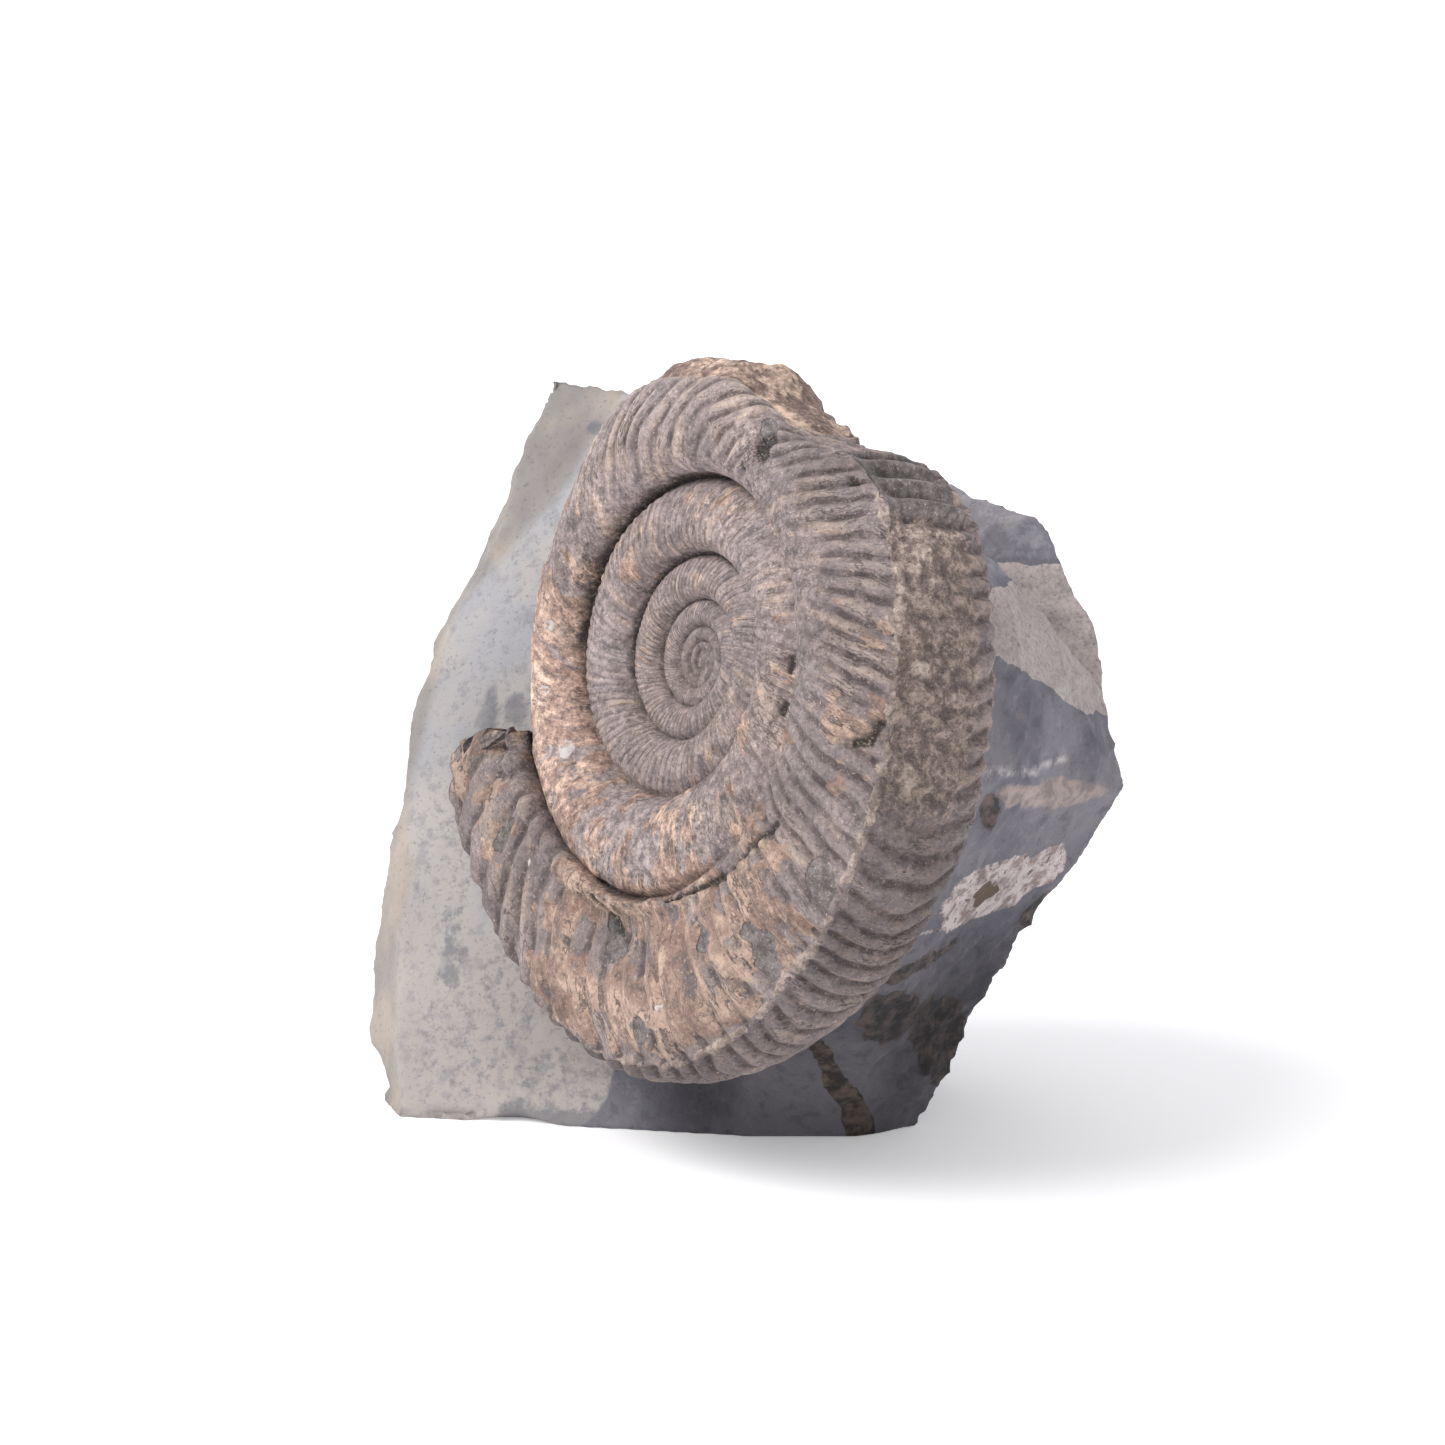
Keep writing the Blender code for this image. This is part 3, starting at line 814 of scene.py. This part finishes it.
def tinted(points, normals):
    """The rock's regions by name, each from 0 to 1 at every point, and its colour's tone, with painted
    shade.
    """
    x, z = points[:, 0], points[:, 2]
    uneven = lumps(points, 8, 31)
    fine = rough(points, 3, 3, 32)
    front = ramp(normals[:, 1], 0.25, -0.05)

    def spot(centre, halves, turned):
        turn = math.radians(turned)
        across, up = x - centre[0] + fine, z - centre[1] + fine
        first = (across * math.cos(turn) + up * math.sin(turn)) / halves[0]
        second = (up * math.cos(turn) - across * math.sin(turn)) / halves[1]
        return ramp(np.hypot(first, second), 1.2, 0.8) * front

    def spots(entries):
        return np.maximum.reduce([strength * spot(*entry) for strength, *entry in entries])

    def stroke(line, width):
        away = np.abs(from_line(x + 0.4 * fine, z + 0.4 * fine, line))
        return ramp(away, width, width * 0.5) * front

    split_face = ramp(x + 3 * uneven, 4, -2)
    # Low under the fossil the dark slate is partly darker stone and partly the fossil's painted shadow.
    foot_slate_and_shadow = ramp(x + 2 * uneven - 0.6 * z, -20, -16) * ramp(z + uneven, 13, 9)
    slate = np.maximum(1 - split_face, foot_slate_and_shadow) * (1 - 0.45 * ramp(z, 62, 66) * ramp(x, 20, 24))
    slate = slate * front + (1 - front) * (0.55 + 0.35 * uneven) * ramp(x, -38, -20)
    slate = slate * (1 - ramp(z, 60, 66) * ramp(x, 10, 0))
    # Painted light: the sandy bed is pale stone painted lighter than the slate below it, and its lower
    # edge is where the fossil's painted shadow begins.
    sandy_and_lit = ramp(z - np.interp(x, *SANDY_AND_LIT_EDGE) + 0.6 * fine, -0.4, 0.4) * ramp(x, 20, 24)
    sandy_and_lit = sandy_and_lit * ramp(z + 0.6 * fine, 65.2, 64.4) * front
    left_edge = ramp(from_line(x, z, LEFT_CREASE), 1.0, -0.6) * ramp(x, 0, -8)
    behind = (1 - front) * ramp(rough(points, 14, 3, 33), 0.2, 0.5) * 0.7 * ramp(z, 76, 68)
    # Painted shade: a mottled darker band along the foot of the face, where the block meets the paper.
    shade_along_foot = ramp(z + 1.2 * fine, 3.0, 1.2) * span(x, -29, -26, -12, -6) * front
    vein_width = 1.3 + 0.09 * np.clip(12 - z, 0, 12)
    # The tone paints shade: darker low on the right, where the struck faces turn down and away from the
    # light, partly darker stone too, and a little darker below the ridge on the right. It is also a
    # little lighter on top at the right.
    tone = 1 - (0.44 + 0.12 * ramp(x, 12, 18)) * ramp(z, 32, 16) * ramp(x, -12, -4)
    tone = tone + (0.16 * ramp(z, 62, 66) - 0.06 * ramp(z, 40, 34)) * ramp(x, 14, 20)
    return {"slate": slate, "beige": np.maximum(sandy_and_lit, 0.6 * stroke(SANDY_LINE, 0.5)),
            "left_edge": left_edge, "brown": np.maximum(spots(BROWN_SPOTS), behind),
            "crystal": spots(CRYSTAL_SPOTS), "core": spots(CORE_SPOTS), "lens": spots(LENS_SPOTS),
            "vein": stroke(VEIN_LINE, vein_width), "line": stroke(PALE_LINE, 0.45),
            "blotch": np.maximum(spots(DAMP_SPOTS), 0.9 * shade_along_foot), "shade": spots(SHADE_SPOTS),
            "warm": ramp(z + 3 * uneven, 30, 16) * ramp(x, 0, -8),
            "tone": tone + 0.15 * lumps(points, 14, 36)}


for name, values in tinted(*read(block.data)).items():
    paint(block.data, name, values)

# %% [markdown]
# ## The two stones as materials
#
# Both materials are built the same way, in layers from the bottom up, like glazes: a base colour
# with its own variation, then each region's colour through its painted number. The small helpers
# below add their nodes to `tree`, the material in hand, so that a layer reads as one line.

# %% Helpers for the layers
def stone(name):
    material = bpy.data.materials.new(name)
    material.use_nodes = True
    tree = material.node_tree
    return material, tree, tree.nodes["Principled BSDF"]


def give(socket, value):
    """Links a node's output to the socket, or sets a colour or a number on it."""
    if isinstance(value, bpy.types.NodeSocket):
        tree.links.new(value, socket)
    elif isinstance(value, tuple):
        socket.default_value = (*value, 1.0)
    else:
        socket.default_value = value


def add(kind, **inputs):
    made = tree.nodes.new(kind)
    for name, value in inputs.items():
        give(made.inputs[name.replace("_", " ")], value)
    return made


def painted(name):
    made = tree.nodes.new("ShaderNodeAttribute")
    made.attribute_name = name
    return made.outputs["Fac"]


def grain(where, size, detail=3.0, rough_share=0.55):
    """Noise from 0 to 1 with one lump to each size, in the units of the place it reads."""
    return add("ShaderNodeTexNoise", Vector=where, Scale=1 / size, Detail=detail,
               Roughness=rough_share).outputs["Fac"]


def between(value, low, high):
    made = add("ShaderNodeMapRange", Value=value, From_Min=low, From_Max=high)
    made.interpolation_type = "SMOOTHSTEP"
    return made.outputs["Result"]


def sums(operation, *values):
    made = tree.nodes.new("ShaderNodeMath")
    made.operation = operation
    for socket, value in zip(made.inputs, values):
        give(socket, value)
    return made.outputs[0]


def layer(share, below, above, kind="MIX"):
    """The colour above over the colour below, where the share says."""
    made = tree.nodes.new("ShaderNodeMix")
    made.data_type = "RGBA"
    made.blend_type = kind
    for socket, value in zip((made.inputs[0], made.inputs[6], made.inputs[7]), (share, below, above)):
        give(socket, value)
    return made.outputs[2]


def times(first, second):
    return sums("MULTIPLY", first, second)


def glaze(below, above, share, strength):
    """The colour above, laid over the colour below as strongly as the share and strength say."""
    return layer(times(share, strength), below, above)


def shaded(colour, tone):
    """The colour multiplied by a tone: 1 leaves it as it is, and less than 1 darkens it."""
    grey = add("ShaderNodeCombineXYZ", X=tone, Y=tone, Z=tone)
    return layer(1.0, colour, grey.outputs["Vector"], "MULTIPLY")


def with_noise(mask, less, noise, weight):
    """A painted mask less a fixed amount, plus weighted noise, which makes its edge uneven."""
    return sums("MULTIPLY_ADD", noise, weight, sums("SUBTRACT", mask, less))


def ragged(mask, noise, reach):
    """A painted mask whose soft edge is broken up by noise."""
    return between(with_noise(mask, reach, noise, 2 * reach), 0.40, 0.60)


def place_in_mm():
    """The object's own coordinates, in millimetres."""
    scaled = add("ShaderNodeVectorMath", Vector=add("ShaderNodeTexCoord").outputs["Object"])
    scaled.operation = "SCALE"
    scaled.inputs["Scale"].default_value = 1 / MM
    return scaled.outputs["Vector"]


def finish_stone(material, obj, colour, relief, strength, depth):
    """Links the colour and the relief to the shader, and gives the object this one material."""
    give(shader.inputs["Base Color"], colour)
    tooth = add("ShaderNodeBump", Strength=strength, Distance=depth, Height=relief)
    give(shader.inputs["Normal"], tooth.outputs["Normal"])
    obj.data.materials.clear()
    obj.data.materials.append(material)
    print(material.name + ":", len(tree.nodes), "nodes")


# %% [markdown]
# The fossil's stone is a mauve-brown limestone skin. Growth lines and ribs run across the whorl, so
# their fine streaks read the painted place along and across the coil, and grain that has no
# direction reads the object's own coordinates.

# %% The fossil's grains
fossil_stone, tree, shader = stone("fossil_stone")
where = place_in_mm()
rib_place = add("ShaderNodeCombineXYZ", X=painted("along"),
                Y=times(painted("across"), 0.22)).outputs["Vector"]

speckle = grain(where, 0.38, 2.0, 0.75)
mottle = grain(where, 1.1, 5.0, 0.8)
dirt = grain(where, 1.5, 5.0, 0.72)
patches = grain(where, 6.0, 4.0)
broad = grain(where, 18.0, 2.0)
growth = grain(rib_place, 0.55, 3.0, 0.65)
scaly = grain(rib_place, 1.1, 5.0, 0.75)
wisps = grain(rib_place, 2.2, 4.0, 0.7)

# %% The fossil's skin, its grooves with dirt and painted shade, and its crests with a painted highlight
colour = layer(between(patches, 0.38, 0.62), (0.225, 0.185, 0.182), (0.290, 0.232, 0.212))
colour = layer(between(broad, 0.45, 0.65), colour, (0.270, 0.225, 0.220))
colour = glaze(colour, (0.440, 0.325, 0.255), between(wisps, 0.52, 0.68), 0.5)
colour = glaze(colour, (0.105, 0.090, 0.095), between(wisps, 0.48, 0.34), 0.65)
rib_turn = sums("COSINE", times(painted("ribs"), 2 * math.pi))
# Painted shade with dirt: the grooves between the ribs are darkened where the ribs stand out, as shade
# falls into them.
groove = times(between(rib_turn, 0.05, 0.95), painted("relief"))
groove = times(groove, between(dirt, 0.25, 0.60))
colour = glaze(colour, (0.085, 0.064, 0.062), groove, 0.9)
# Painted highlight: the rib crests are lightened, as the light catches them.
crest = times(between(rib_turn, -0.4, -1.0), painted("relief"))
crest = times(crest, between(patches, 0.45, 0.65))
colour = glaze(colour, (0.400, 0.330, 0.290), crest, 0.4)

# %% The ochre flakes and their fissures
flake_colour = layer(between(patches, 0.42, 0.60), (0.260, 0.168, 0.132), (0.440, 0.310, 0.242))
flake_colour = glaze(flake_colour, (0.150, 0.110, 0.100), between(scaly, 0.49, 0.40), 0.8)
flake_colour = glaze(flake_colour, (0.580, 0.430, 0.335), between(scaly, 0.53, 0.64), 0.6)
colour = glaze(colour, flake_colour, ragged(painted("ochre"), scaly, 1.6), 0.85)
fissure = between(sums("ABSOLUTE", sums("SUBTRACT", wisps, 0.5)), 0.022, 0.006)
fissure = times(fissure, between(patches, 0.46, 0.60))
colour = glaze(colour, (0.075, 0.058, 0.054), fissure, 0.75)

# %% The broken rim, the bare mould, the knobbly crust and the calcite
clods = sums("MULTIPLY_ADD", dirt, 0.4, times(patches, 0.6))
rim_colour = layer(between(clods, 0.44, 0.56), (0.175, 0.120, 0.102), (0.430, 0.315, 0.250))
colour = layer(ragged(painted("rim"), dirt, 0.3), colour, rim_colour)
mould = layer(between(patches, 0.4, 0.6), (0.110, 0.098, 0.093), (0.165, 0.146, 0.140))
bare = ragged(painted("bare"), dirt, 0.25)
colour = glaze(colour, mould, bare, 0.9)
knobs = layer(between(dirt, 0.42, 0.60), (0.150, 0.110, 0.098), (0.400, 0.315, 0.265))
colour = glaze(colour, knobs, ragged(painted("knobbly"), dirt, 0.4), 0.8)
calcite = layer(between(dirt, 0.38, 0.62), (0.230, 0.175, 0.150), (0.500, 0.410, 0.355))
colour = glaze(colour, calcite, ragged(painted("crust"), dirt, 0.7), 0.85)
colour = glaze(colour, (0.070, 0.058, 0.056), between(speckle, 0.42, 0.30), 0.65)
# Pale specks: partly pale grains and partly painted glints.
colour = glaze(colour, (0.600, 0.500, 0.440), between(speckle, 0.60, 0.70), 0.45)

# %% The fossil's tone with painted light and shade, its white spar, and its grime and painted shade
mottling = sums("SUBTRACT", between(mottle, 0.38, 0.62), 0.5)
mottling = times(mottling, sums("MULTIPLY_ADD", painted("relief"), -0.5, 0.85))
mottled = sums("ADD", mottling, 1.03)
# The tone paints light on the top and left of the coil and shade on its lower outer edge, with random
# mottling.
colour = shaded(colour, times(painted("tone"), mottled))
white_spar = times(ragged(painted("spar"), dirt, 0.8), between(dirt, 0.36, 0.60))
colour = layer(white_spar, colour, (0.620, 0.570, 0.560))
# Grime and painted shade: the seams, cracks and chips are darkened, as dirt lies in them and shade
# falls into them.
grime_and_shade = layer(between(speckle, 0.54, 0.68), (0.035, 0.030, 0.028), (0.260, 0.200, 0.150))
grime_and_shade_share = with_noise(painted("deep"), 0.45, dirt, 0.9)
colour = glaze(colour, grime_and_shade, between(grime_and_shade_share, 0.15, 0.85), 0.92)

# %% The fossil's sheen and its fine relief
give(shader.inputs["Roughness"], sums("MULTIPLY_ADD", bare, -0.22, 0.80))
shader.inputs["Specular IOR Level"].default_value = 0.35
relief = sums("ADD", times(growth, 0.9), times(dirt, 1.3))
relief = sums("ADD", relief, times(scaly, 0.9))
relief = sums("ADD", relief, times(speckle, 0.5))
relief = times(relief, sums("MULTIPLY_ADD", bare, -0.8, 1.0))
finish_stone(fossil_stone, fossil, colour, relief, strength=0.7, depth=0.35 * MM)

# %% [markdown]
# The mudstone is finer. Its colour changes slowly over a face, with soft darker mottles where damp
# stained it and a band of painted shade along the foot. The painted lenses and crystals sit on top,
# and the bump is much weaker than the fossil's, except in the rusty hollows and on the crystals.

# %% The split face of the mudstone
mudstone, tree, shader = stone("mudstone")
where = place_in_mm()
silt = grain(where, 0.5, 3.0, 0.7)
facets = grain(where, 0.9, 3.0, 0.7)
spotted = grain(where, 1.3, 5.0, 0.7)
mottle = grain(where, 2.2, 4.0, 0.65)
drift = grain(where, 11.0, 3.0, 0.5)

pale = layer(between(drift, 0.40, 0.62), (0.365, 0.360, 0.382), (0.420, 0.392, 0.378))
pale = glaze(pale, (0.390, 0.348, 0.320), painted("warm"), 0.85)
pale = glaze(pale, (0.235, 0.230, 0.247), between(mottle, 0.50, 0.36), 0.5)
edge_tint = layer(between(drift, 0.40, 0.62), (0.255, 0.232, 0.218), (0.370, 0.315, 0.268))
pale = glaze(pale, edge_tint, painted("left_edge"), 0.85)
# Damp stains, and the painted shade along the foot, darken the pale face.
damp_and_foot_shade = with_noise(painted("blotch"), 1.28, spotted, 1.8)
pale = glaze(pale, (0.155, 0.155, 0.170), between(damp_and_foot_shade, -0.1, 0.35), 0.7)
soft_shade = times(painted("shade"), between(mottle, 0.2, 0.6))
pale = glaze(pale, (0.150, 0.155, 0.180), soft_shade, 0.75)

# %% The struck face, the sandy bed with its painted light, and the tan lens
slate = layer(between(drift, 0.38, 0.62), (0.135, 0.130, 0.155), (0.195, 0.183, 0.208))
slate = glaze(slate, (0.290, 0.260, 0.265), between(mottle, 0.52, 0.68), 0.35)
slate = glaze(slate, (0.070, 0.065, 0.076), between(mottle, 0.46, 0.34), 0.4)
# Low under the fossil this slate colour is partly the fossil's painted shadow.
colour = layer(ragged(painted("slate"), mottle, 0.25), pale, slate)
# The sandy colour is partly pale stone and partly painted light, above the fossil's painted shadow.
sandy_and_lit = layer(between(silt, 0.35, 0.65), (0.350, 0.297, 0.290), (0.440, 0.385, 0.372))
sandy_and_lit = glaze(sandy_and_lit, (0.250, 0.215, 0.215), between(mottle, 0.50, 0.36), 0.4)
colour = layer(ragged(painted("beige"), mottle, 0.3), colour, sandy_and_lit)
tan_lens = layer(between(mottle, 0.40, 0.60), (0.235, 0.195, 0.190), (0.360, 0.295, 0.270))
lens_share = with_noise(painted("lens"), 0.9, mottle, 0.8)
colour = layer(between(lens_share, -0.2, 0.5), colour, tan_lens)

# %% The rust, the vein and the crystals
rust = layer(between(mottle, 0.42, 0.64), (0.042, 0.035, 0.036), (0.165, 0.120, 0.105))
rusty = with_noise(painted("brown"), 1.35, mottle, 1.8)
colour = glaze(colour, rust, between(rusty, 0.0, 0.35), 0.9)
vein = layer(between(mottle, 0.44, 0.64), (0.045, 0.034, 0.030), (0.170, 0.125, 0.104))
colour = layer(ragged(painted("vein"), mottle, 0.5), colour, vein)
spar = layer(between(mottle, 0.38, 0.60), (0.270, 0.210, 0.200), (0.620, 0.540, 0.530))
spar = layer(between(facets, 0.43, 0.34), spar, (0.150, 0.110, 0.105))
spar = layer(ragged(painted("core"), mottle, 0.5), spar, (0.130, 0.090, 0.065))
colour = layer(ragged(painted("crystal"), facets, 0.5), colour, spar)
pale_line = times(painted("line"), between(mottle, 0.35, 0.6))
colour = layer(pale_line, colour, (0.450, 0.420, 0.420))
colour = glaze(colour, (0.100, 0.095, 0.105), between(silt, 0.44, 0.30), 0.45)
# The tone darkens the lower right and the face below the ridge as painted shade.
colour = shaded(colour, painted("tone"))

# %% The mudstone's fine relief
shader.inputs["Roughness"].default_value = 0.72
shader.inputs["Specular IOR Level"].default_value = 0.3
relief = sums("ADD", times(silt, 0.35), times(mottle, 0.6))
rougher = sums("ADD", painted("brown"), painted("crystal"))
rougher = sums("ADD", rougher, times(painted("slate"), 0.35))
relief = times(relief, sums("MULTIPLY_ADD", rougher, 3.0, 0.8))
finish_stone(mudstone, block, colour, relief, strength=0.6, depth=0.3 * MM)
